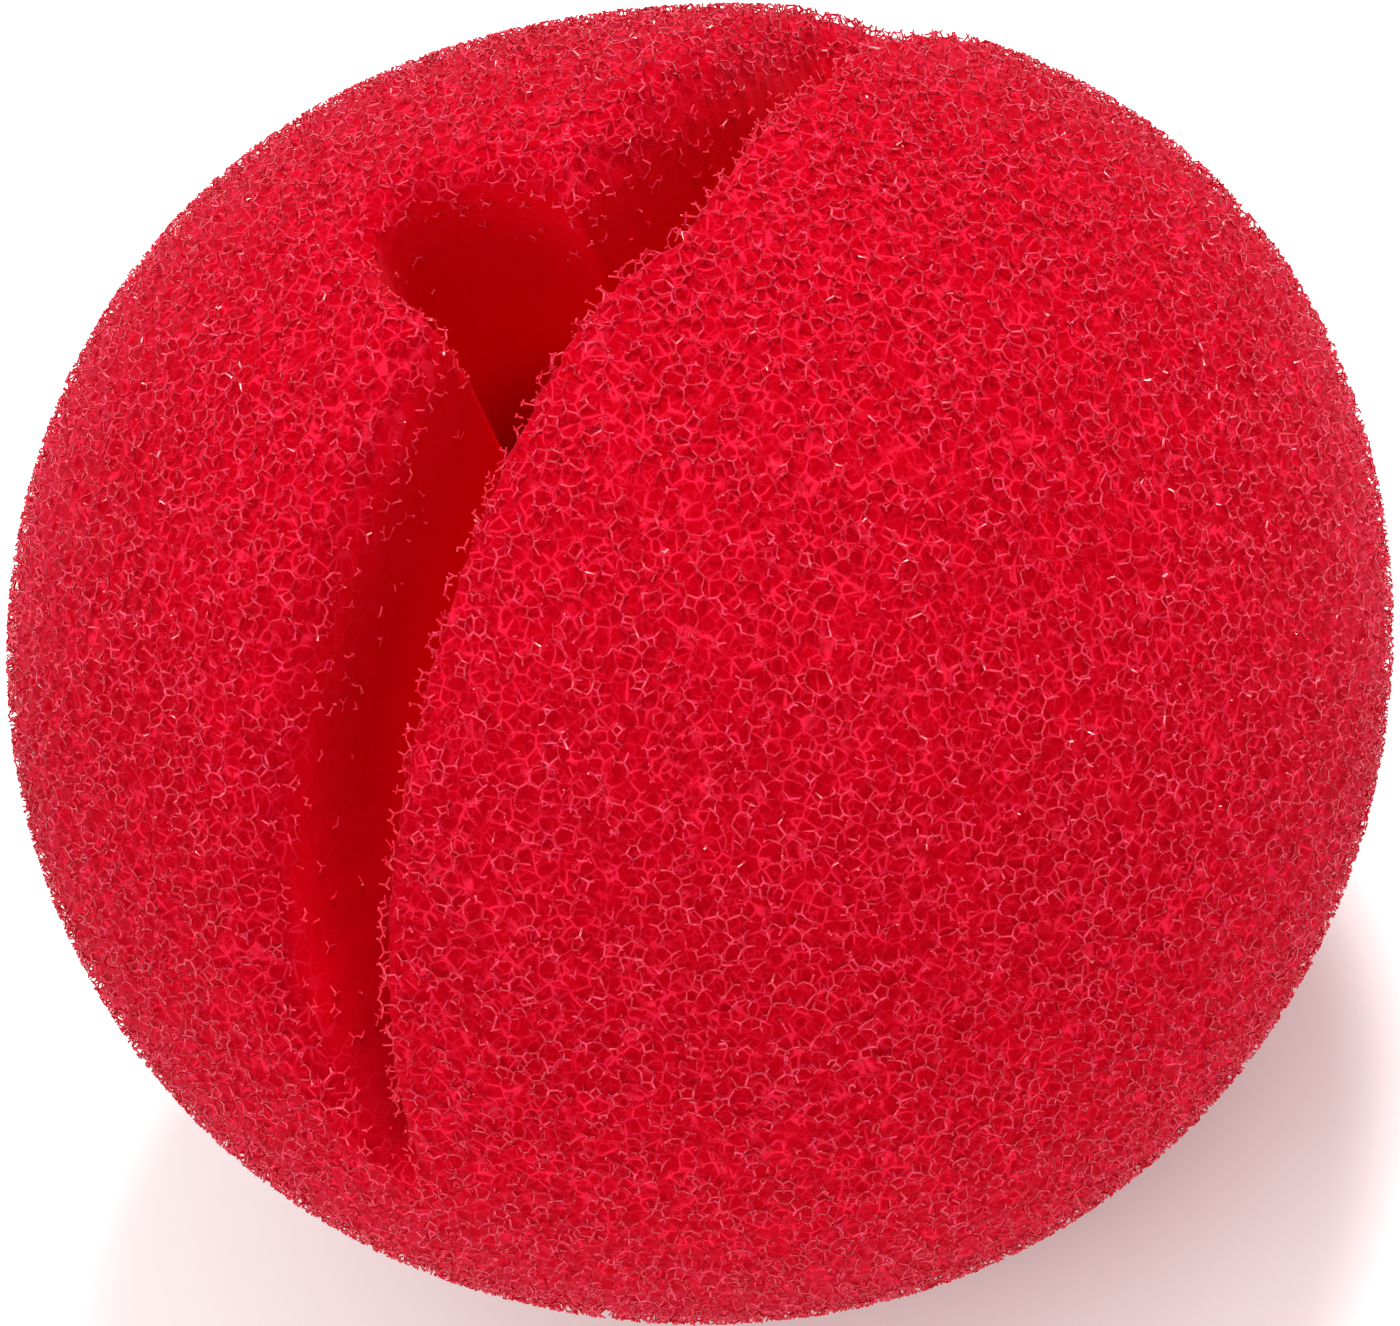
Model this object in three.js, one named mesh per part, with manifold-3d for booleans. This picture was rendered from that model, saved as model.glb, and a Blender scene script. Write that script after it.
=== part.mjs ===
import * as THREE from 'three';
import { mergeVertices } from 'three/addons/utils/BufferGeometryUtils.js';
import Module from 'manifold-3d';

// A foam clown nose: one soft ball with a nose socket and a slit cut into its top.
// Lengths are millimetres and angles degrees. The nose rests on its tip, the origin is the middle
// of the base, +Z points out of the socket and the slit runs along Y with its closed ends at +-Y.

// The ball, before its cuts
const BALL_WIDTH = 49.2;
const BALL_LENGTH = 48.8;
const BALL_HEIGHT = 48;
const REST_FACE_WIDTH = 8;

// The slit: a straight wall toward +X, and a leaning wall toward -X with a soft lip
const SLIT_GAP = 4.5;
const SLIT_DEPTH = 23.6;
const SLIT_WALL_FROM_MIDDLE = 3.55;
const SLIT_LIP_RADIUS = 2;

// The socket: an upright oval well that opens on the slit. Its lip is softest on the side that lies
// SOCKET_SOFT_SIDE degrees round from +X, and keen on the opposite side
const SOCKET_WIDTH = 9.1;
const SOCKET_LENGTH = 6.1;
const SOCKET_DEPTH = 20;
const SOCKET_TOWARD_LEFT = 1.2;
const SOCKET_TOWARD_FRONT = 0.15;
const SOCKET_LIP_RADIUS = 1.8;
const SOCKET_SOFT_SIDE = 130;

// Broad swells and flats of the ball: where each one is, how far it spreads in degrees, and its
// rise as a share of the ball's radius there
const SWELLS = [
  { azimuth: 60, elevation: 10, spread: 35, rise: 0.036 },
  { azimuth: 115, elevation: 40, spread: 35, rise: -0.05 },
  { azimuth: -75, elevation: -35, spread: 35, rise: -0.022 },
];

// The slit's cross-section: height above its root as a share of SLIT_DEPTH, and the distance
// between its walls as a share of SLIT_GAP
const SLIT_SECTION = [
  { height: 0, gap: 0 },
  { height: 0.055, gap: 0.16 },
  { height: 0.13, gap: 0.4 },
  { height: 0.22, gap: 0.63 },
  { height: 0.38, gap: 0.88 },
  { height: 0.55, gap: 1 },
  { height: 2, gap: 1 },
];

// The slit's run from front to back: place as a share of half BALL_LENGTH, the straight wall's
// step toward +X as a share of SLIT_GAP, and how open the slit is as a share of SLIT_GAP
const SLIT_RUN = [
  { along: -2, step: 0, gap: 1 },
  { along: -0.03, step: 0, gap: 1 },
  { along: 0.08, step: 0.26, gap: 1 },
  { along: 0.2, step: 0.22, gap: 0.94 },
  { along: 0.36, step: 0.07, gap: 0.81 },
  { along: 0.5, step: 0.02, gap: 0.82 },
  { along: 0.7, step: -0.26, gap: 0.86 },
  { along: 2, step: -0.35, gap: 0.86 },
];

// Depths under the surface at which a soft lip's round is sampled, as shares of its radius
const LIP_STEPS = [0, 0.1, 0.3, 0.6, 1];

const BALL_SIDES = 64;
const BALL_RINGS = 36;
const SLIT_RAYS = 32;
const SLIT_WALL_STEPS = 5;
const SOCKET_SIDES = 36;
const SOCKET_WALL_STEPS = 4;
const CUT_OVERSHOOT = 4;
const FOAM_COLOUR = 0xcc1028;

const wasm = await Module();
wasm.setup();

function radians(degrees) {
  return THREE.MathUtils.degToRad(degrees);
}

// Looks a column up in a table, with straight lines between its rows.
function lookUp(table, key, value, column) {
  const next = Math.max(1, table.findIndex((row) => row[key] >= value));
  const low = table[next - 1];
  const high = table[next];
  const share = THREE.MathUtils.clamp((value - low[key]) / (high[key] - low[key]), 0, 1);
  return THREE.MathUtils.lerp(low[column], high[column], share);
}

function directionAt(azimuth, elevation) {
  const flat = Math.cos(radians(elevation));
  return new THREE.Vector3(
    flat * Math.cos(radians(azimuth)),
    flat * Math.sin(radians(azimuth)),
    Math.sin(radians(elevation)),
  );
}

// The distance from the ball's middle to its surface: an ellipsoid's, times each swell's bell curve.
function ballRadius(direction) {
  const squashed = Math.hypot(
    direction.x / BALL_WIDTH,
    direction.y / BALL_LENGTH,
    direction.z / BALL_HEIGHT,
  );
  return SWELLS.reduce((radius, swell) => {
    const away = direction.angleTo(directionAt(swell.azimuth, swell.elevation)) / radians(swell.spread);
    return radius * (1 + swell.rise * Math.exp(-away * away));
  }, 1 / (2 * squashed));
}

// The distance from a start inside the ball to its surface along a direction, by halving.
function distanceToSurface(start, direction) {
  let inside = 0;
  let outside = BALL_WIDTH + BALL_LENGTH + BALL_HEIGHT;
  while (outside - inside > 1e-4) {
    const middle = (inside + outside) / 2;
    const point = start.clone().addScaledVector(direction, middle);
    const isInside = point.length() < ballRadius(point.clone().normalize());
    inside = isInside ? middle : inside;
    outside = isInside ? outside : middle;
  }
  return inside;
}

// How far a soft lip has drawn back from its wall, at a depth under the surface: a quarter round.
function lipSetback(depth, radius) {
  const left = THREE.MathUtils.clamp(radius - depth, 0, radius);
  return radius - Math.sqrt(radius * radius - left * left);
}

// Makes a manifold solid of points and triangles; points that coincide become one.
function solidOf(points, triangles) {
  const raw = new THREE.BufferGeometry();
  raw.setAttribute('position', new THREE.Float32BufferAttribute(points.flatMap((p) => [p.x, p.y, p.z]), 3));
  raw.setIndex(triangles.flat());
  return solidOfGeometry(raw);
}

function solidOfGeometry(geometry) {
  geometry.deleteAttribute('normal');
  geometry.deleteAttribute('uv');
  const merged = mergeVertices(geometry, 1e-4);
  const corners = Array.from(merged.index.array);
  const whole = [];
  for (let i = 0; i < corners.length; i += 3) {
    const [a, b, c] = corners.slice(i, i + 3);
    if (a !== b && b !== c && c !== a) {
      whole.push(a, b, c);
    }
  }
  return new wasm.Manifold(new wasm.Mesh({
    numProp: 3,
    vertProperties: new Float32Array(merged.attributes.position.array),
    triVerts: new Uint32Array(whole),
  }));
}

// The two triangles of each cell of a grid of points; turned flips the side that they face.
function gridTriangles(start, rows, columns, turned) {
  const triangles = [];
  for (let row = 0; row < rows - 1; row += 1) {
    for (let column = 0; column < columns - 1; column += 1) {
      const a = start + row * columns + column;
      const b = a + 1;
      const c = a + columns;
      const d = c + 1;
      triangles.push(turned ? [a, b, d] : [a, d, b]);
      triangles.push(turned ? [a, d, c] : [a, c, d]);
    }
  }
  return triangles;
}

function makeBall() {
  const geometry = new THREE.SphereGeometry(1, BALL_SIDES, BALL_RINGS);
  geometry.rotateX(Math.PI / 2);
  const place = geometry.attributes.position;
  const point = new THREE.Vector3();
  for (let i = 0; i < place.count; i += 1) {
    point.fromBufferAttribute(place, i).normalize();
    point.multiplyScalar(ballRadius(point));
    place.setXYZ(i, point.x, point.y, point.z);
  }
  return solidOfGeometry(geometry);
}

// The points of one of the slit's walls: a fan of rays from the middle of the slit's root, each with
// steps along the wall, round the lip and past the ball's surface. The first and the last ray lie
// along the root, where the two walls meet. Leaning is 0 for the straight wall and 1 for the other.
function slitWall(leaning) {
  const root = new THREE.Vector3(SLIT_WALL_FROM_MIDDLE, 0, BALL_HEIGHT / 2 - SLIT_DEPTH);
  const wallX = (point, setback) => {
    const along = point.y / (BALL_LENGTH / 2);
    const open = lookUp(SLIT_SECTION, 'height', (point.z - root.z) / SLIT_DEPTH, 'gap');
    const step = lookUp(SLIT_RUN, 'along', along, 'step') * SLIT_GAP;
    const gap = lookUp(SLIT_RUN, 'along', along, 'gap') * SLIT_GAP;
    return root.x + step - leaning * open * (gap + setback);
  };
  return Array.from({ length: SLIT_RAYS + 1 }, (_, ray) => {
    const turn = Math.PI * (ray / SLIT_RAYS - 0.5);
    const direction = new THREE.Vector3(0, Math.sin(turn), Math.cos(turn));
    const edge = root.clone().addScaledVector(direction, distanceToSurface(root, direction));
    const reach = distanceToSurface(root.clone().setX(wallX(edge, SLIT_LIP_RADIUS)), direction);
    const wallSteps = Array.from({ length: SLIT_WALL_STEPS }, (_, i) => i / SLIT_WALL_STEPS);
    return [
      ...wallSteps.map((share) => (reach - SLIT_LIP_RADIUS) * share),
      ...LIP_STEPS.map((share) => reach - SLIT_LIP_RADIUS * share).reverse(),
      reach + CUT_OVERSHOOT,
    ].map((distance) => {
      const point = root.clone().addScaledVector(direction, distance);
      return point.setX(wallX(point, lipSetback(reach - distance, SLIT_LIP_RADIUS)));
    });
  });
}

// The slit's cutter is its two walls, joined past the ball's surface.
function makeSlitCutter() {
  const straight = slitWall(0).flat();
  const leaning = slitWall(1).flat();
  const steps = straight.length / (SLIT_RAYS + 1);
  const rim = Array.from({ length: SLIT_RAYS }, (_, ray) => {
    const a = ray * steps + steps - 1;
    const b = a + steps;
    return [[a, b, b + straight.length], [a, b + straight.length, a + straight.length]];
  });
  return solidOf([...straight, ...leaning], [
    ...gridTriangles(0, SLIT_RAYS + 1, steps, false),
    ...gridTriangles(straight.length, SLIT_RAYS + 1, steps, true),
    ...rim.flat(),
  ]);
}

// The socket's cutter is a stack of oval rings, from a flat floor up the wall and round the lip,
// which is soft on one side and keen on the other.
function makeSocketCutter() {
  const middle = new THREE.Vector3(-SOCKET_TOWARD_LEFT, -SOCKET_TOWARD_FRONT, 0);
  const up = new THREE.Vector3(0, 0, 1);
  const wallEnd = SOCKET_DEPTH - SOCKET_LIP_RADIUS;
  const depths = [
    ...Array.from({ length: SOCKET_WALL_STEPS }, (_, i) => SOCKET_DEPTH - wallEnd * (i / SOCKET_WALL_STEPS)),
    ...LIP_STEPS.map((share) => SOCKET_LIP_RADIUS * share).reverse(),
    -CUT_OVERSHOOT,
  ];
  const points = depths.flatMap((depth) => Array.from({ length: SOCKET_SIDES + 1 }, (_, side) => {
    const turn = 2 * Math.PI * ((side % SOCKET_SIDES) / SOCKET_SIDES);
    const softness = (1 + Math.cos(turn - radians(SOCKET_SOFT_SIDE))) / 2;
    const setback = softness * lipSetback(depth, SOCKET_LIP_RADIUS);
    const point = middle.clone();
    point.x += (SOCKET_WIDTH / 2 + setback) * Math.cos(turn);
    point.y += (SOCKET_LENGTH / 2 + setback) * Math.sin(turn);
    point.z = distanceToSurface(point, up) - depth;
    return point;
  }));
  const floor = points.length;
  const roof = floor + 1;
  const top = (depths.length - 1) * (SOCKET_SIDES + 1);
  const lids = Array.from({ length: SOCKET_SIDES }, (_, side) => [
    [floor, side + 1, side],
    [roof, top + side, top + side + 1],
  ]).flat();
  points.push(middle.clone().setZ(distanceToSurface(middle, up) - SOCKET_DEPTH));
  points.push(middle.clone().setZ(distanceToSurface(middle, up) + CUT_OVERSHOOT));
  return solidOf(points, [...gridTriangles(0, depths.length, SOCKET_SIDES + 1, true), ...lids]);
}

// Everything under the rest face, which the foam's own weight presses flat.
function makeRestCutter() {
  const share = REST_FACE_WIDTH / BALL_WIDTH;
  const restHeight = (BALL_HEIGHT / 2) * Math.sqrt(1 - share * share);
  const block = new THREE.BoxGeometry(BALL_WIDTH, BALL_LENGTH, BALL_HEIGHT);
  block.translate(0, 0, -restHeight - BALL_HEIGHT / 2);
  return solidOfGeometry(block);
}

function makeFoamNose() {
  const solid = makeBall()
    .subtract(makeSlitCutter())
    .subtract(makeSocketCutter())
    .subtract(makeRestCutter());
  const mesh = solid.getMesh();
  const geometry = new THREE.BufferGeometry();
  geometry.setAttribute('position', new THREE.BufferAttribute(mesh.vertProperties, 3));
  geometry.setIndex(new THREE.BufferAttribute(mesh.triVerts, 1));
  geometry.computeBoundingBox();
  const { min, max } = geometry.boundingBox;
  geometry.translate(-(min.x + max.x) / 2, -(min.y + max.y) / 2, -min.z);
  geometry.computeVertexNormals();
  const foam = new THREE.MeshStandardMaterial({ color: FOAM_COLOUR, roughness: 0.9, metalness: 0 });
  const nose = new THREE.Mesh(geometry, foam);
  nose.name = 'foam_nose';
  return nose;
}

const clownNose = new THREE.Group();
clownNose.add(makeFoamNose());

export default clownNose;
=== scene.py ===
from itertools import combinations

import bpy
import numpy as np
import openvdb
from mathutils import Matrix, Vector


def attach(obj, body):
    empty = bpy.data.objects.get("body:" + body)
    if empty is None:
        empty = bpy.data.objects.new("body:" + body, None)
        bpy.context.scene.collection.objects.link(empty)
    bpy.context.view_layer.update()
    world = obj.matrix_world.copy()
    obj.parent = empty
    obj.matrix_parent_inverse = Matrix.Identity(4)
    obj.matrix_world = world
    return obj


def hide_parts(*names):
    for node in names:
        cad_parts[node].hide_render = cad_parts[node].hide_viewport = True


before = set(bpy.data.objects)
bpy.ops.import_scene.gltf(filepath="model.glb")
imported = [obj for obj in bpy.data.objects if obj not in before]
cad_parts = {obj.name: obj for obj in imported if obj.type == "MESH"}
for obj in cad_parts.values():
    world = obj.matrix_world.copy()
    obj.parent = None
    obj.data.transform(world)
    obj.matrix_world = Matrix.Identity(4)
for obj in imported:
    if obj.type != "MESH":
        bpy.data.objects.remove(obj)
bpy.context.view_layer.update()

# The net of strands. The real nose is one ball of open-celled polyurethane foam, coloured red right
# through. Its outside is a net of thin strands that meet four by four round cells under a millimetre
# wide, left open where the cutter passed. Here each strand is a prism between two corners of the net.
CELL_WIDTH = 0.00082
CELLS_IN_BLOCK = 1000
CELL_SEED = 7
PUSH_ROUNDS = 8
ROUNDS_PER_SEARCH = 4
PUSHED_NEIGHBOURS = 40
CORNER_NEIGHBOURS = 26
CORNER_BATCHES = 20
TINY = 1e-9
# In cell widths: how far a cell pushes, how hard, and the square of how far its corners lie at most.
PUSH_REACH = 1.5
PUSH_STRENGTH = 0.45
CORNER_REACH_SQUARED = 1.5
# Shares of the way to the neighbours' mean, and of a strand's length where it is cut shortest.
EVENING = 0.6
SHORTEST_CUT = 0.08
EVENING_ROUNDS = 2
STRAND_RADIUS = 0.000042
BLOCKS_EACH_WAY = 4
BLOCK_TURN = 0.61
BLOCK_TURN_AXIS = (0.3, 0.8, 0.52)
SECTORS = 6
BALL_MIDDLE = np.array([-0.00003, -0.00019, 0.02368])
BALL_RADIUS = 0.0246
SHELL_UNDER = 0.0025
SHELL_HALF = 0.0035
FIELD_STEP = 0.00025
FIELD_BAND = 0.0016
FIELD_MARGIN = 10
NET_DEPTH = 0.00022
WALL_SHARE = 0.42
BLUR_PASSES = 8
# Where smooth steps start and end: the facing as a cosine, the others in metres under the ball's surface
# or over its middle.
SKIN_FACING = (0.05, 0.6)
SKIN_UNDER = (0.005, 0.009)
WALL_NET_HEIGHT = (0.006, 0.019)
WALL_NET_UNDER = (0.0015, 0.0075)
STRAND_SPECULAR = 0.26
STRAND_SHEEN = 0.15
STRAND_SHEEN_ROUGHNESS = 0.4
STRAND_SHEEN_TINT = (1, 0.3, 0.4, 1)
FLECK_WIDTH = 0.0004
# The noise from the first to the second value paints a paler highlight and makes the roughness greater.
FLECK_NOISE = (0.5, 0.7)
GLOSS_NOISE = (0.3, 0.6)
STRAND_ROUGHNESS = (0.08, 0.3)
STRAND_RED = (0.525, 0.003, 0.023, 1)
# Painted highlight: the paler red of the flecks, for glints on the strands.
STRAND_PAINTED_HIGHLIGHT = (0.72, 0.04, 0.105, 1)
# Painted glow: the lighter red of the strands on the walls, for light that comes through the foam.
STRAND_PAINTED_GLOW = (0.88, 0.018, 0.055, 1)
block_side = CELLS_IN_BLOCK ** (1 / 3) * (np.pi / 6) ** (1 / 3) * CELL_WIDTH


def nearest_copy(offset):
    """The shortest of an offset's copies in a block that repeats: the offset less the block's side times
    the offset over the side, rounded."""
    return offset - block_side * np.round(offset / block_side)


def spread_cells(count, seed):
    """Cell middles in a cube that repeats, evened out: each is pushed off every middle within reach by
    the square of one less their distance over the reach, as bubbles of one size settle."""
    middles = np.random.default_rng(seed).random((count, 3)) * block_side
    reach = PUSH_REACH * CELL_WIDTH
    for step in range(PUSH_ROUNDS):
        if step % ROUNDS_PER_SEARCH == 0:
            apart = nearest_copy(middles[None] - middles[:, None])
            near = np.argsort((apart**2).sum(-1), axis=1)[:, 1 : PUSHED_NEIGHBOURS + 1]
        away = nearest_copy(middles[:, None] - middles[near])
        distance = np.sqrt((away**2).sum(-1, keepdims=True)) + TINY
        push = np.clip(1 - distance / reach, 0, None) ** 2 * away / distance
        middles = (middles + PUSH_STRENGTH * CELL_WIDTH * push.sum(1)) % block_side
    return middles


def foam_corners(middles):
    """Where four cells meet: the middle of each sphere through four cell middles that holds no other
    middle. Each is found once from every cell of the four. Returns its place and the four cells."""
    apart = nearest_copy(middles[None] - middles[:, None])
    rank = np.argsort((apart**2).sum(-1), axis=1)[:, 1 : CORNER_NEIGHBOURS + 1]
    near = np.take_along_axis(apart, rank[..., None], axis=1) / CELL_WIDTH
    triples = np.array(list(combinations(range(CORNER_NEIGHBOURS), 3)))
    places, cells = [], []
    for owners in np.array_split(np.arange(len(middles)), CORNER_BATCHES):
        points = near[owners][:, triples]
        a, b, c = points[..., 0, :], points[..., 1, :], points[..., 2, :]
        half = (points**2).sum(-1)[..., None] / 2
        turned = np.cross(b, c), np.cross(c, a), np.cross(a, b)
        volume = (a * turned[0]).sum(-1, keepdims=True)
        volume = np.where(np.abs(volume) < TINY, TINY, volume)
        corner = sum(half[..., i, :] * turned[i] for i in range(3)) / volume
        cell, triple = np.nonzero((corner**2).sum(-1) < CORNER_REACH_SQUARED)
        corner = corner[cell, triple]
        closer = ((near[owners][cell] - corner[:, None]) ** 2).sum(-1) < (corner**2).sum(-1)[:, None]
        np.put_along_axis(closer, triples[triple], False, axis=1)
        empty = ~closer.any(1)
        cell, triple = owners[cell[empty]], triples[triple[empty]]
        places.append(middles[cell] + corner[empty] * CELL_WIDTH)
        cells.append(np.column_stack([cell, np.take_along_axis(rank[cell], triple, axis=1)]))
    return np.concatenate(places), np.concatenate(cells)


def foam_net(middles):
    """The net of strands in one block. A strand joins two corners that have three cells in common, so
    every corner has four strands. Returns the corners, then for each corner and strand both corners'
    numbers and the copy of the block that the far one lies in."""
    place, cells = foam_corners(middles)
    _, first, corner = np.unique(np.sort(cells, axis=1), axis=0, return_index=True, return_inverse=True)
    corner = corner.ravel()
    home = place[first]
    others = np.concatenate([cells[:, [0, 1, 2]], cells[:, [0, 1, 3]], cells[:, [0, 2, 3]]])
    others[:, 1:] = np.sort(others[:, 1:], axis=1)
    record = np.tile(np.arange(len(cells)), 3)
    order = np.lexsort(others.T)
    same = (others[order][1:] == others[order][:-1]).all(1)
    start, end = record[order[:-1][same]], record[order[1:][same]]
    start, end = np.concatenate([start, end]), np.concatenate([end, start])
    pair, kept = np.unique(np.column_stack([corner[start], corner[end]]), axis=0, return_index=True)
    start, end = start[kept], end[kept]
    block = np.round((home[pair[:, 0]] + place[end] - place[start] - home[pair[:, 1]]) / block_side)
    return home, pair, block.astype(int)


def ordered_strands(home, pair, block):
    """Moves each corner twice by a share of the way to the mean of its four neighbours, which evens the
    strands as surface tension does, puts its four strands in the order in which the points opposite to
    them make a right-handed tetrahedron, and finds which strand of the far corner each one is."""
    far = pair[:, 1].reshape(-1, 4)
    block = block.reshape(-1, 4, 3)
    for _ in range(EVENING_ROUNDS):
        home = (1 - EVENING) * home + EVENING * (home[far] + block * block_side).mean(1)
    along = home[far] + block * block_side - home[:, None]
    along /= np.linalg.norm(along, axis=2, keepdims=True)
    left_handed = np.linalg.det(along[:, 1:] - along[:, :1]) > 0
    order = np.where(left_handed[:, None], [1, 0, 2, 3], [0, 1, 2, 3])
    far = np.take_along_axis(far, order, 1)
    block = np.take_along_axis(block, order[..., None], 1)
    along = np.take_along_axis(along, order[..., None], 1)
    back = (far[far] == np.arange(len(far))[:, None, None]).argmax(2)
    return home, far, block, along, back


# Each corner is a small tetrahedron with one knot opposite to each strand, and a strand ends on the face
# of the other three knots. The two ends are matched by the turn that twists the strand least.
ENDS = np.array([(1, 2, 3), (0, 3, 2), (0, 1, 3), (0, 2, 1)])
cell_middles = spread_cells(CELLS_IN_BLOCK, CELL_SEED)
home, far, block, along, back = ordered_strands(*foam_net(cell_middles))
knots = -STRAND_RADIUS * along
near_end = knots[:, ENDS]
far_end = np.take_along_axis(near_end[far], back[..., None, None, None], 2)[:, :, 0, ::-1]
turned_ends = np.stack([np.roll(far_end, -turn, axis=2) for turn in range(3)])
twist = ((turned_ends - near_end) ** 2).sum((-1, -2)).argmin(0)
turned = (np.arange(3) + twist[..., None]) % 3
far_knots = np.take_along_axis(ENDS[back][..., ::-1], turned, axis=2)
far_end = np.take_along_axis(far_end, turned[..., None], axis=2)


def depth_field(step, band):
    """How far under the CAD surface each point of a grid lies, the points a step apart, and the grid's
    first point. Farther from the surface than the band it stays at the band's width."""
    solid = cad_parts["foam_nose"].data
    points = np.empty(len(solid.vertices) * 3, np.float32)
    solid.vertices.foreach_get("co", points)
    faces = np.empty(len(solid.polygons) * 3, np.uint32)
    solid.polygons.foreach_get("vertices", faces)
    points, faces = points.reshape(-1, 3), faces.reshape(-1, 3)
    voxels = openvdb.createLinearTransform(voxelSize=step)
    grid = openvdb.FloatGrid.createLevelSetFromPolygons(
        points, triangles=faces, transform=voxels, exBandWidth=band / step, inBandWidth=band / step
    )
    first = np.floor(points.min(0) / step).astype(int) - FIELD_MARGIN
    size = np.ceil(points.max(0) / step).astype(int) + FIELD_MARGIN - first
    field = np.empty(tuple(size), np.float32)
    grid.copyToArray(field, ijk=tuple(int(n) for n in first))
    return -field, first * step


def value_at(places, field, first, step):
    """A field's value at any place: the sum of the eight grid points round it, each times the product of
    how near it is on every axis."""
    low = np.clip((places - first) / step, 0, np.array(field.shape) - 1.001)
    corner = low.astype(int)
    share = low - corner
    value = np.zeros(len(places))
    for x, y, z in np.ndindex(2, 2, 2):
        weight = np.abs([1 - x, 1 - y, 1 - z] - share).prod(1)
        value += weight * field[corner[:, 0] + x, corner[:, 1] + y, corner[:, 2] + z]
    return value


def smooth_step(value, low, high):
    """0 up to low, 1 from high on, and 3 s^2 - 2 s^3 between them, s being the share of the way."""
    share = np.clip((value - low) / (high - low), 0, 1)
    return share * share * (3 - 2 * share)


def skin_shares(field, first, step):
    """How much of the net each grid point has. The skin's facing is the slope of the depth against the
    way out from the ball's middle: a smooth step of it is 1 outside and 0 on the walls of the slit and
    the socket, which keep a little net near their upper lips. A blur rounds the change."""
    slope = np.stack(np.gradient(field, step), -1)
    out = np.moveaxis(np.indices(field.shape), 0, -1) * step + first - BALL_MIDDLE
    far_out = np.linalg.norm(out, axis=-1)
    facing = -(slope * out).sum(-1) / (np.linalg.norm(slope, axis=-1) * far_out + 1e-6)
    under = BALL_RADIUS - far_out
    share = smooth_step(facing, *SKIN_FACING) * (1 - smooth_step(under, *SKIN_UNDER))
    high_up = smooth_step(out[..., 2], *WALL_NET_HEIGHT)
    share += (1 - share) * WALL_SHARE * high_up * (1 - smooth_step(under, *WALL_NET_UNDER))
    for axis in (0, 1, 2) * BLUR_PASSES:
        share = (np.roll(share, 1, axis) + 2 * share + np.roll(share, -1, axis)) / 4
    return share


# The block of net is laid side by side through the whole ball, and what lies in the skin is kept.
field, field_start = depth_field(FIELD_STEP, FIELD_BAND)
skin_share = skin_shares(field, field_start, FIELD_STEP)
run = np.arange(-BLOCKS_EACH_WAY - 1, BLOCKS_EACH_WAY + 1)
steps = np.stack(np.meshgrid(run, run, run, indexing="ij"), -1).reshape(-1, 3)
lie = np.array(Matrix.Rotation(BLOCK_TURN, 3, BLOCK_TURN_AXIS))
filled = np.nonzero((steps > run[0]).all(1) & (steps < run[-1]).all(1))[0]
tile, corner = [grid.ravel() for grid in np.meshgrid(filled, np.arange(len(home)), indexing="ij")]
place = home[corner] + steps[tile] * block_side
shell = np.abs(np.linalg.norm(place, axis=1) - BALL_RADIUS + SHELL_UNDER) < SHELL_HALF
tile, corner = tile[shell], corner[shell]
place = place[shell] @ lie.T + BALL_MIDDLE
depth = value_at(place, field, field_start, FIELD_STEP)
kept = (depth > 0) & (depth < NET_DEPTH * value_at(place, skin_share, field_start, FIELD_STEP))
tile, corner, place, depth = tile[kept], corner[kept], place[kept], depth[kept]
round_share = np.arctan2(place[:, 1], place[:, 0]) / (2 * np.pi) % 1
sector = np.floor(round_share * SECTORS).astype(int) % SECTORS
number = np.full((len(steps), len(home)), -1)
number[tile, corner] = np.arange(len(tile))

far_corner = far[corner]
far_step = steps[tile][:, None] + block[corner]
far_number = number[((far_step - run[0]) * (len(run) ** 2, len(run), 1)).sum(-1), far_corner]
far_place = (home[far_corner] + far_step * block_side) @ lie.T + BALL_MIDDLE
far_depth = value_at(far_place.reshape(-1, 3), field, field_start, FIELD_STEP).reshape(-1, 4)
same_piece = (far_number >= 0) & (sector[far_number] == sector[:, None])
whole, strand = np.nonzero(same_piece & (far_number > np.arange(len(corner))[:, None]))
near_ring = 4 * whole[:, None] + ENDS[strand]
far_ring = 4 * far_number[whole, strand][:, None] + far_knots[corner[whole], strand]
whole_sides = np.stack([near_ring, np.roll(near_ring, -1, 1), np.roll(far_ring, -1, 1), far_ring], -1)

# A strand that leaves the foam is cut off at its surface, and one between two sectors halfway.
cut, strand = np.nonzero(~same_piece)
near_points = place[cut][:, None] + near_end[corner[cut], strand] @ lie.T
far_points = far_place[cut, strand][:, None] + far_end[corner[cut], strand] @ lie.T
beyond = far_depth[cut, strand]
share = np.where(beyond < 0, depth[cut] / (depth[cut] - beyond + TINY), 1.0)
share = np.where(far_number[cut, strand] >= 0, 0.5, np.clip(share, SHORTEST_CUT, 1))
cut_points = near_points + share[:, None, None] * (far_points - near_points)
near_ring = 4 * cut[:, None] + ENDS[strand]
cut_ring = 4 * len(corner) + np.arange(3 * len(cut)).reshape(-1, 3)
cut_sides = np.stack([near_ring, np.roll(near_ring, -1, 1), np.roll(cut_ring, -1, 1), cut_ring], -1)
knot_points = place[:, None] + knots[corner] @ lie.T
points = np.concatenate([knot_points.reshape(-1, 3), cut_points.reshape(-1, 3)])
sides = np.concatenate([whole_sides, cut_sides])
side_sector = np.concatenate([sector[whole], sector[cut]])


def material(name):
    """A new node material: its nodes, its links and its Principled shader."""
    made = bpy.data.materials.new(name)
    made.use_nodes = True
    return made, made.node_tree.nodes, made.node_tree.links, made.node_tree.nodes["Principled BSDF"]


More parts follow.
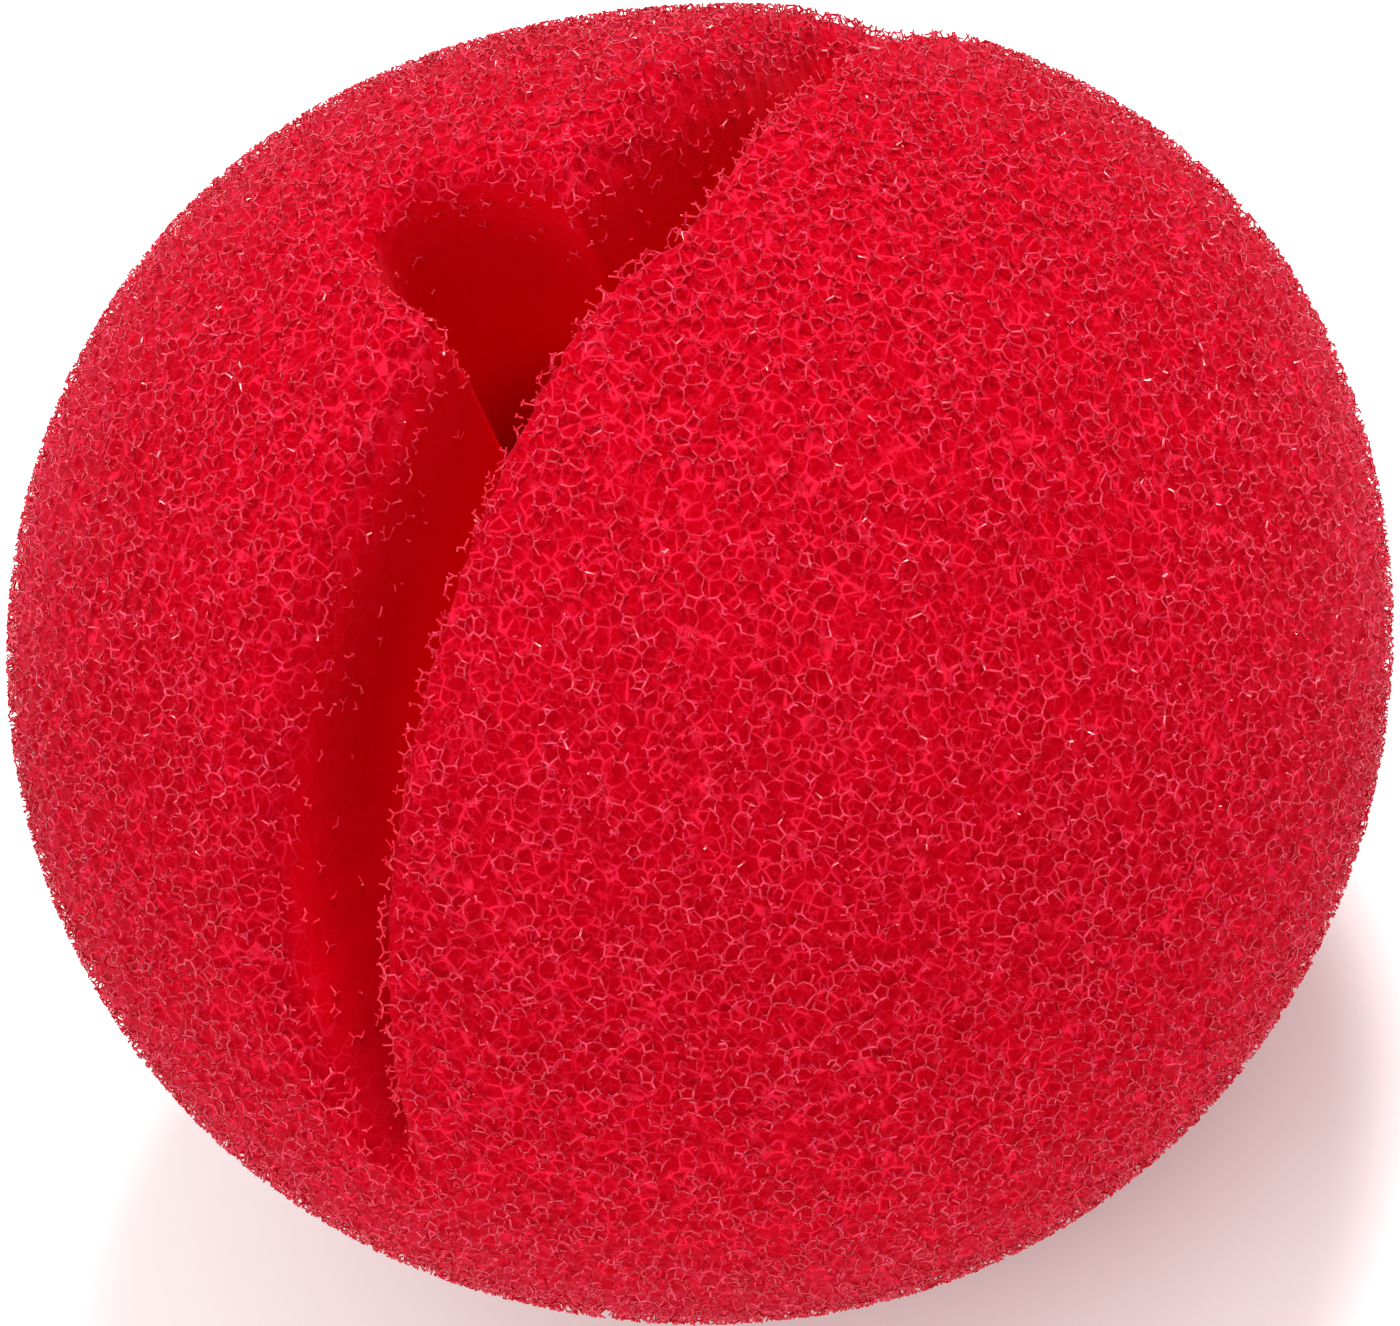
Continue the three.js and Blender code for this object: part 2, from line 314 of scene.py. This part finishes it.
def foam_piece(name, points, faces, finish):
    """A piece of the sponge, from points and a list of face arrays, one array for each number of sides. It
    rides on the nose's one body and stands for the CAD foam."""
    used, index = np.unique(np.concatenate([part.ravel() for part in faces]), return_inverse=True)
    counts = np.concatenate([np.full(len(part), part.shape[1]) for part in faces])
    mesh = bpy.data.meshes.new(name)
    mesh.vertices.add(len(used))
    mesh.vertices.foreach_set("co", points[used].astype(np.float32).ravel())
    mesh.loops.add(len(index))
    mesh.loops.foreach_set("vertex_index", index.ravel().astype(np.int32))
    mesh.polygons.add(len(counts))
    mesh.polygons.foreach_set("loop_start", (np.cumsum(counts) - counts).astype(np.int32))
    mesh.update(calc_edges=True)
    mesh.materials.append(finish)
    piece = bpy.data.objects.new(name, mesh)
    bpy.context.collection.objects.link(piece)
    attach(piece, "root")
    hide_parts("foam_nose")
    return piece


def vertex_places(mesh):
    """Where all the points of a mesh lie, three numbers a row."""
    places = np.empty(len(mesh.vertices) * 3, np.float32)
    mesh.vertices.foreach_get("co", places)
    return places.reshape(-1, 3)


def mark_points(piece, name, values):
    """Puts one number on each point of a piece, which its material reads by the name given."""
    made = piece.data.attributes.new(name, "FLOAT", "POINT")
    made.data.foreach_set("value", values.astype(np.float32))


def add_bake_map(piece, turn):
    """A UV map for one sector of the net: how far round the sector a point lies, and half of one plus the
    sine of its height angle over the ball's middle. It starts at the share of a turn given."""
    mesh = piece.data
    places = vertex_places(mesh)
    out = places - BALL_MIDDLE
    around = (np.arctan2(places[:, 1], places[:, 0]) / (2 * np.pi) - turn + 0.5) % 1 - 0.5
    height = (out[:, 2] / np.linalg.norm(out, axis=1) + 1) / 2
    flat = np.column_stack([np.clip(around * SECTORS, 0, 1), height])
    loops = np.empty(len(mesh.loops), np.int32)
    mesh.loops.foreach_get("vertex_index", loops)
    mesh.uv_layers.new(name="OFBake").uv.foreach_set("vector", flat[loops].astype(np.float32).ravel())


# The strands' colour: a clear red that turns to a paler one in flecks, which are also less glossy. The
# paler red is a painted highlight that stands for glints on the strands. On the walls of the slit and
# the socket they are painted lighter, a painted glow for the light that comes through the foam there.
strand_red, nodes, links, shader = material("red_strands")
shader.inputs["Specular IOR Level"].default_value = STRAND_SPECULAR
shader.inputs["Sheen Weight"].default_value = STRAND_SHEEN
shader.inputs["Sheen Roughness"].default_value = STRAND_SHEEN_ROUGHNESS
shader.inputs["Sheen Tint"].default_value = STRAND_SHEEN_TINT
coordinates = nodes.new("ShaderNodeTexCoord")
fleck = nodes.new("ShaderNodeTexNoise")
fleck.inputs["Scale"].default_value = 1 / FLECK_WIDTH
fleck.inputs["Detail"].default_value = 1
links.new(coordinates.outputs["Object"], fleck.inputs["Vector"])
painted_highlight_share = nodes.new("ShaderNodeMapRange")
painted_highlight_share.inputs["From Min"].default_value = FLECK_NOISE[0]
painted_highlight_share.inputs["From Max"].default_value = FLECK_NOISE[1]
links.new(fleck.outputs["Fac"], painted_highlight_share.inputs["Value"])
tint = nodes.new("ShaderNodeMix")
tint.data_type = "RGBA"
tint.inputs["A"].default_value = STRAND_RED
tint.inputs["B"].default_value = STRAND_PAINTED_HIGHLIGHT
links.new(painted_highlight_share.outputs["Result"], tint.inputs["Factor"])
outside = nodes.new("ShaderNodeAttribute")
outside.attribute_name = "outside"
colour = nodes.new("ShaderNodeMix")
colour.data_type = "RGBA"
colour.inputs["A"].default_value = STRAND_PAINTED_GLOW
links.new(tint.outputs["Result"], colour.inputs["B"])
links.new(outside.outputs["Fac"], colour.inputs["Factor"])
links.new(colour.outputs["Result"], shader.inputs["Base Color"])
gloss = nodes.new("ShaderNodeMapRange")
gloss.inputs["From Min"].default_value = GLOSS_NOISE[0]
gloss.inputs["From Max"].default_value = GLOSS_NOISE[1]
gloss.inputs["To Min"].default_value = STRAND_ROUGHNESS[0]
gloss.inputs["To Max"].default_value = STRAND_ROUGHNESS[1]
links.new(fleck.outputs["Fac"], gloss.inputs["Value"])
links.new(gloss.outputs["Result"], shader.inputs["Roughness"])

for part in range(SECTORS):
    quads = sides[side_sector == part].reshape(-1, 4)
    caps = cut_ring[sector[cut] == part]
    piece = foam_piece(f"strand_net_{part + 1}", points, [quads, caps], strand_red)
    piece.data.shade_flat()
    add_bake_map(piece, part / SECTORS)
    net_share = value_at(vertex_places(piece.data), skin_share, field_start, FIELD_STEP)
    mark_points(piece, "outside", net_share)

# The heart. Below its first cells the foam is only seen as deep red hollows, so here it is one closed
# body under the net, with a bowl at every cell. On the walls of the slit and the socket it comes out
# from under the net: there the real foam is the same, but shut in, and the heart is painted a bright
# even red there, a painted glow for the light that goes through the foam.
HEART_STEP = 0.00036
HEART_BAND = 0.0018
HEART_DEPTH = 0.00023
WALL_DEPTH = 0.00006
BOWL_DEPTH = 0.00028
BOWL_RADIUS = 0.56
# Shares of the heart's darker red, painted shade, at the walls' lips and more at the slit's front end.
LIP_LIGHT = 0.5
FRONT_LIGHT = 0.18
# Where smooth steps start and end: metres over the floor, forward of the middle and under the ball's
# surface, and then shares of the net.
SLIT_FLOOR = (0.026, 0.039)
FRONT_END = (0.006, 0.016)
LIP_UNDER = (0.004, 0.012)
LIT_SHARE = (0.25, 0.85)
HEART_ROUGHNESS = 0.8
VEIL = 0.5
VEIL_ROUGHNESS = 0.35
VEIL_TINT = (1, 0.15, 0.28, 1)
LINE_CORE = 0.01
LINE_NOISE = (0.38, 0.58)
FAINTEST_LINE = 0.15
PLACE_BATCHES = 60
# Painted shade: the heart's darker red, where it lies open and at the slit's front end.
SHADED_RED = (0.402, 0.0003, 0.006, 1)
# Painted glow: the heart's bright red on the shut-in walls, for light that goes through the foam.
SHUT_IN_PAINTED_GLOW = (0.945, 0.0, 0.006, 1)
LINE_LAYERS = [
    # cell width, half of a line's width as a share of it, strength, colour
    (0.0004, 0.12, 0.7, (0.6, 0.005, 0.025, 1)),
    (0.00065, 0.09, 1.0, (0.7, 0.012, 0.045, 1)),
]


def heart_mesh():
    """The surface that lies under the CAD surface by WALL_DEPTH on the walls and by HEART_DEPTH outside,
    and between them where the net's share is between 0 and 1."""
    depth, first = depth_field(HEART_STEP, HEART_BAND)
    grid_places = np.moveaxis(np.indices(depth.shape), 0, -1).reshape(-1, 3) * HEART_STEP + first
    share = value_at(grid_places, skin_share, field_start, FIELD_STEP).reshape(depth.shape)
    inside = depth - WALL_DEPTH - (HEART_DEPTH - WALL_DEPTH) * share
    grid = openvdb.FloatGrid(HEART_BAND)
    first_voxel = tuple(int(n) for n in np.round(first / HEART_STEP))
    grid.copyFromArray((-inside).astype(np.float32), ijk=first_voxel)
    grid.transform = openvdb.createLinearTransform(voxelSize=HEART_STEP)
    points, quads = grid.convertToQuads(isovalue=0.0)
    a, b, c = [points[quads[:, i]].astype(float) for i in (0, 1, 2)]
    if (a * np.cross(b, c)).sum() < 0:
        quads = quads[:, ::-1]
    return points, quads


def nearest_cell(places):
    """How far each place is from the nearest cell middle of the net: the root of the least of
    a^2 + b^2 - 2 a b, with a the place and b a middle in the block or a copy of one at its edges."""
    copies = [np.array(step) * block_side for step in np.ndindex(3, 3, 3)]
    spread = np.concatenate([cell_middles + copy - block_side for copy in copies])
    spread = spread[((spread > -CELL_WIDTH) & (spread < block_side + CELL_WIDTH)).all(1)].astype(np.float32)
    within = (((places - BALL_MIDDLE) @ lie) % block_side).astype(np.float32)
    nearest = []
    for some in np.array_split(within, PLACE_BATCHES):
        apart = (some**2).sum(1)[:, None] + (spread**2).sum(1) - 2 * some @ spread.T
        nearest.append(np.sqrt(np.clip(apart.min(1), 0, None)))
    return np.concatenate(nearest)


def cell_line_group():
    """Thin lines where the cells of one layer of foam meet: the distance to the edge of a Voronoi
    pattern, turned over by a smooth step, so that it is 1 on a line and 0 past its half width, times a
    noise that breaks the lines. Both distances are shares of the cell width."""
    group = bpy.data.node_groups.new("cell_lines", "ShaderNodeTree")
    group.interface.new_socket("Cells per Metre", in_out="INPUT", socket_type="NodeSocketFloat")
    group.interface.new_socket("Half Width", in_out="INPUT", socket_type="NodeSocketFloat")
    group.interface.new_socket("Lines", in_out="OUTPUT", socket_type="NodeSocketFloat")
    inner, wires = group.nodes, group.links
    given, made = inner.new("NodeGroupInput"), inner.new("NodeGroupOutput")
    coordinates = inner.new("ShaderNodeTexCoord")
    cells = inner.new("ShaderNodeTexVoronoi")
    cells.feature = "DISTANCE_TO_EDGE"
    wires.new(coordinates.outputs["Object"], cells.inputs["Vector"])
    wires.new(given.outputs["Cells per Metre"], cells.inputs["Scale"])
    line = inner.new("ShaderNodeMapRange")
    line.interpolation_type = "SMOOTHSTEP"
    line.inputs["From Min"].default_value = LINE_CORE
    line.inputs["To Min"].default_value = 1
    line.inputs["To Max"].default_value = 0
    wires.new(cells.outputs["Distance"], line.inputs["Value"])
    wires.new(given.outputs["Half Width"], line.inputs["From Max"])
    gap = inner.new("ShaderNodeTexNoise")
    gap.inputs["Detail"].default_value = 0
    wires.new(coordinates.outputs["Object"], gap.inputs["Vector"])
    wires.new(given.outputs["Cells per Metre"], gap.inputs["Scale"])
    strength = inner.new("ShaderNodeMapRange")
    strength.inputs["From Min"].default_value = LINE_NOISE[0]
    strength.inputs["From Max"].default_value = LINE_NOISE[1]
    strength.inputs["To Min"].default_value = FAINTEST_LINE
    wires.new(gap.outputs["Fac"], strength.inputs["Value"])
    broken = inner.new("ShaderNodeMath")
    broken.operation = "MULTIPLY"
    wires.new(line.outputs["Result"], broken.inputs[0])
    wires.new(strength.outputs["Result"], broken.inputs[1])
    wires.new(broken.outputs["Value"], made.inputs["Lines"])
    return group


heart_red, nodes, links, shader = material("deep_red_foam")
shader.inputs["Roughness"].default_value = HEART_ROUGHNESS
shader.inputs["Specular IOR Level"].default_value = 0.0
shader.inputs["Sheen Roughness"].default_value = VEIL_ROUGHNESS
shader.inputs["Sheen Tint"].default_value = VEIL_TINT
outside = nodes.new("ShaderNodeAttribute")
outside.attribute_name = "outside"
veil = nodes.new("ShaderNodeMath")
veil.operation = "MULTIPLY"
links.new(outside.outputs["Fac"], veil.inputs[0])
veil.inputs[1].default_value = VEIL
links.new(veil.outputs["Value"], shader.inputs["Sheen Weight"])
# The heart's colour: the bright red, a painted glow, where little light comes in, and the darker red,
# painted shade, where it lies open.
lit = nodes.new("ShaderNodeAttribute")
lit.attribute_name = "lit"
colour = nodes.new("ShaderNodeMix")
colour.data_type = "RGBA"
colour.inputs["A"].default_value = SHUT_IN_PAINTED_GLOW
colour.inputs["B"].default_value = SHADED_RED
links.new(lit.outputs["Fac"], colour.inputs["Factor"])
cell_lines = cell_line_group()
for width, half_line, strength, line_colour in LINE_LAYERS:
    layer = nodes.new("ShaderNodeGroup")
    layer.node_tree = cell_lines
    layer.inputs["Cells per Metre"].default_value = 1 / width
    layer.inputs["Half Width"].default_value = half_line
    seen = nodes.new("ShaderNodeMath")
    seen.operation = "MULTIPLY"
    links.new(layer.outputs["Lines"], seen.inputs[0])
    seen.inputs[1].default_value = strength
    faded = nodes.new("ShaderNodeMath")
    faded.operation = "MULTIPLY"
    links.new(seen.outputs["Value"], faded.inputs[0])
    links.new(outside.outputs["Fac"], faded.inputs[1])
    over = nodes.new("ShaderNodeMix")
    over.data_type = "RGBA"
    links.new(faded.outputs["Value"], over.inputs["Factor"])
    links.new(colour.outputs["Result"], over.inputs["A"])
    over.inputs["B"].default_value = line_colour
    colour = over
links.new(colour.outputs["Result"], shader.inputs["Base Color"])

heart_points, heart_quads = heart_mesh()
heart = foam_piece("dark_heart", heart_points, [heart_quads], heart_red)
heart.data.shade_smooth()
normals = np.empty(len(heart.data.vertices) * 3, np.float32)
heart.data.vertices.foreach_get("normal", normals)
normals, places = normals.reshape(-1, 3), vertex_places(heart.data).astype(float)
share = value_at(places, skin_share, field_start, FIELD_STEP)
from_middle = np.clip(nearest_cell(places) / (BOWL_RADIUS * CELL_WIDTH), 0, 1)
sunk = places - normals * (BOWL_DEPTH * share * (1 - from_middle**2))[:, None]
heart.data.vertices.foreach_set("co", sunk.astype(np.float32).ravel())
heart.data.update()

# How openly lit each point is: the outside fully, the walls' lips and the slit's front end in part, its
# floor fully again, and the rest of the walls only by light that has gone through the foam. It picks the
# heart's painted light: the darker red, painted shade, where a point is open, on the lips and at the
# slit's front end, and the bright red, a painted glow, where light only comes through the foam.
under = BALL_RADIUS - np.linalg.norm(places - BALL_MIDDLE, axis=1)
slit_floor = 1 - smooth_step(places[:, 2], *SLIT_FLOOR)
front_end = smooth_step(-places[:, 1], *FRONT_END)
near_lip = (LIP_LIGHT + FRONT_LIGHT * front_end) * (1 - smooth_step(under, *LIP_UNDER))
lit_share = smooth_step(share, *LIT_SHARE)
lit_share += (1 - lit_share) * np.maximum(slit_floor, near_lip)
mark_points(heart, "outside", share)
mark_points(heart, "lit", lit_share)

# The floor. A plain white board, painted matt and far wider than the picture, like the sheet that such
# small goods are photographed on.
FLOOR_HALF = 3
FLOOR_WHITE = (0.97, 0.97, 0.97, 1)
FLOOR_ROUGHNESS = 0.9
corners = [(-1, -1), (1, -1), (1, 1), (-1, 1)]
mesh = bpy.data.meshes.new("floor")
mesh.from_pydata([(x * FLOOR_HALF, y * FLOOR_HALF, 0) for x, y in corners], [], [(0, 1, 2, 3)])
floor = bpy.data.objects.new("floor", mesh)
bpy.context.collection.objects.link(floor)
floor_white, nodes, links, shader = material("pale_floor")
shader.inputs["Base Color"].default_value = FLOOR_WHITE
shader.inputs["Roughness"].default_value = FLOOR_ROUGHNESS
mesh.materials.append(floor_white)

# The light. A white tent all round, with one lamp behind and over the ball, whose light the strands
# catch on their upper sides, and two broad weak ones, at the front left and at the front right.
TENT_STRENGTH = 1.0
LAMPS = [
    # name, place, side of its square, power in watts
    ("key_light", (0.0, 0.24, 0.52), 0.12, 2.3),
    ("left_light", (-0.2, -0.51, 0.27), 0.3, 1.1),
    ("right_light", (0.52, -0.3, 0.06), 0.3, 0.75),
]
world = bpy.data.worlds.new("white_tent")
bpy.context.scene.world = world
world.use_nodes = True
world.node_tree.nodes["Background"].inputs["Color"].default_value = (1, 1, 1, 1)
world.node_tree.nodes["Background"].inputs["Strength"].default_value = TENT_STRENGTH
bpy.context.scene.view_settings.view_transform = "Standard"


def soft_box(name, place, size, power):
    """A square lamp at a place, turned so that its -Z runs along the line from it to the ball's middle."""
    lamp = bpy.data.lights.new(name, "AREA")
    lamp.shape = "SQUARE"
    lamp.size = size
    lamp.energy = power
    stand = bpy.data.objects.new(name, lamp)
    stand.location = place
    aim = Vector(BALL_MIDDLE) - Vector(place)
    stand.rotation_euler = aim.to_track_quat("-Z", "Y").to_euler()
    bpy.context.collection.objects.link(stand)


for name, place, size, power in LAMPS:
    soft_box(name, place, size, power)

# The camera. It looks down on the ball from its front right, as in the photograph, turned so that the
# slit runs from the top right to the lower left of the picture.
CAMERA_WAY = (0.497, -0.411, 0.764)
PICTURE_RIGHT = (0.82, 0.511, -0.259)
CAMERA_DISTANCE = 0.35
AIM_RIGHT = 0.000178
AIM_DOWN = 0.000284
SENSOR_WIDTH = 36
FOCAL_LENGTH = 253
back_way = Vector(CAMERA_WAY).normalized()
up = back_way.cross(Vector(PICTURE_RIGHT)).normalized()
right = up.cross(back_way)
aim = Vector(BALL_MIDDLE) + AIM_RIGHT * right - AIM_DOWN * up
lens = bpy.data.cameras.new("camera")
lens.sensor_width = SENSOR_WIDTH
lens.lens = FOCAL_LENGTH
camera = bpy.data.objects.new("camera", lens)
turn = Matrix((right, up, back_way)).transposed()
camera.matrix_world = Matrix.Translation(aim + CAMERA_DISTANCE * back_way) @ turn.to_4x4()
bpy.context.collection.objects.link(camera)
bpy.context.scene.camera = camera
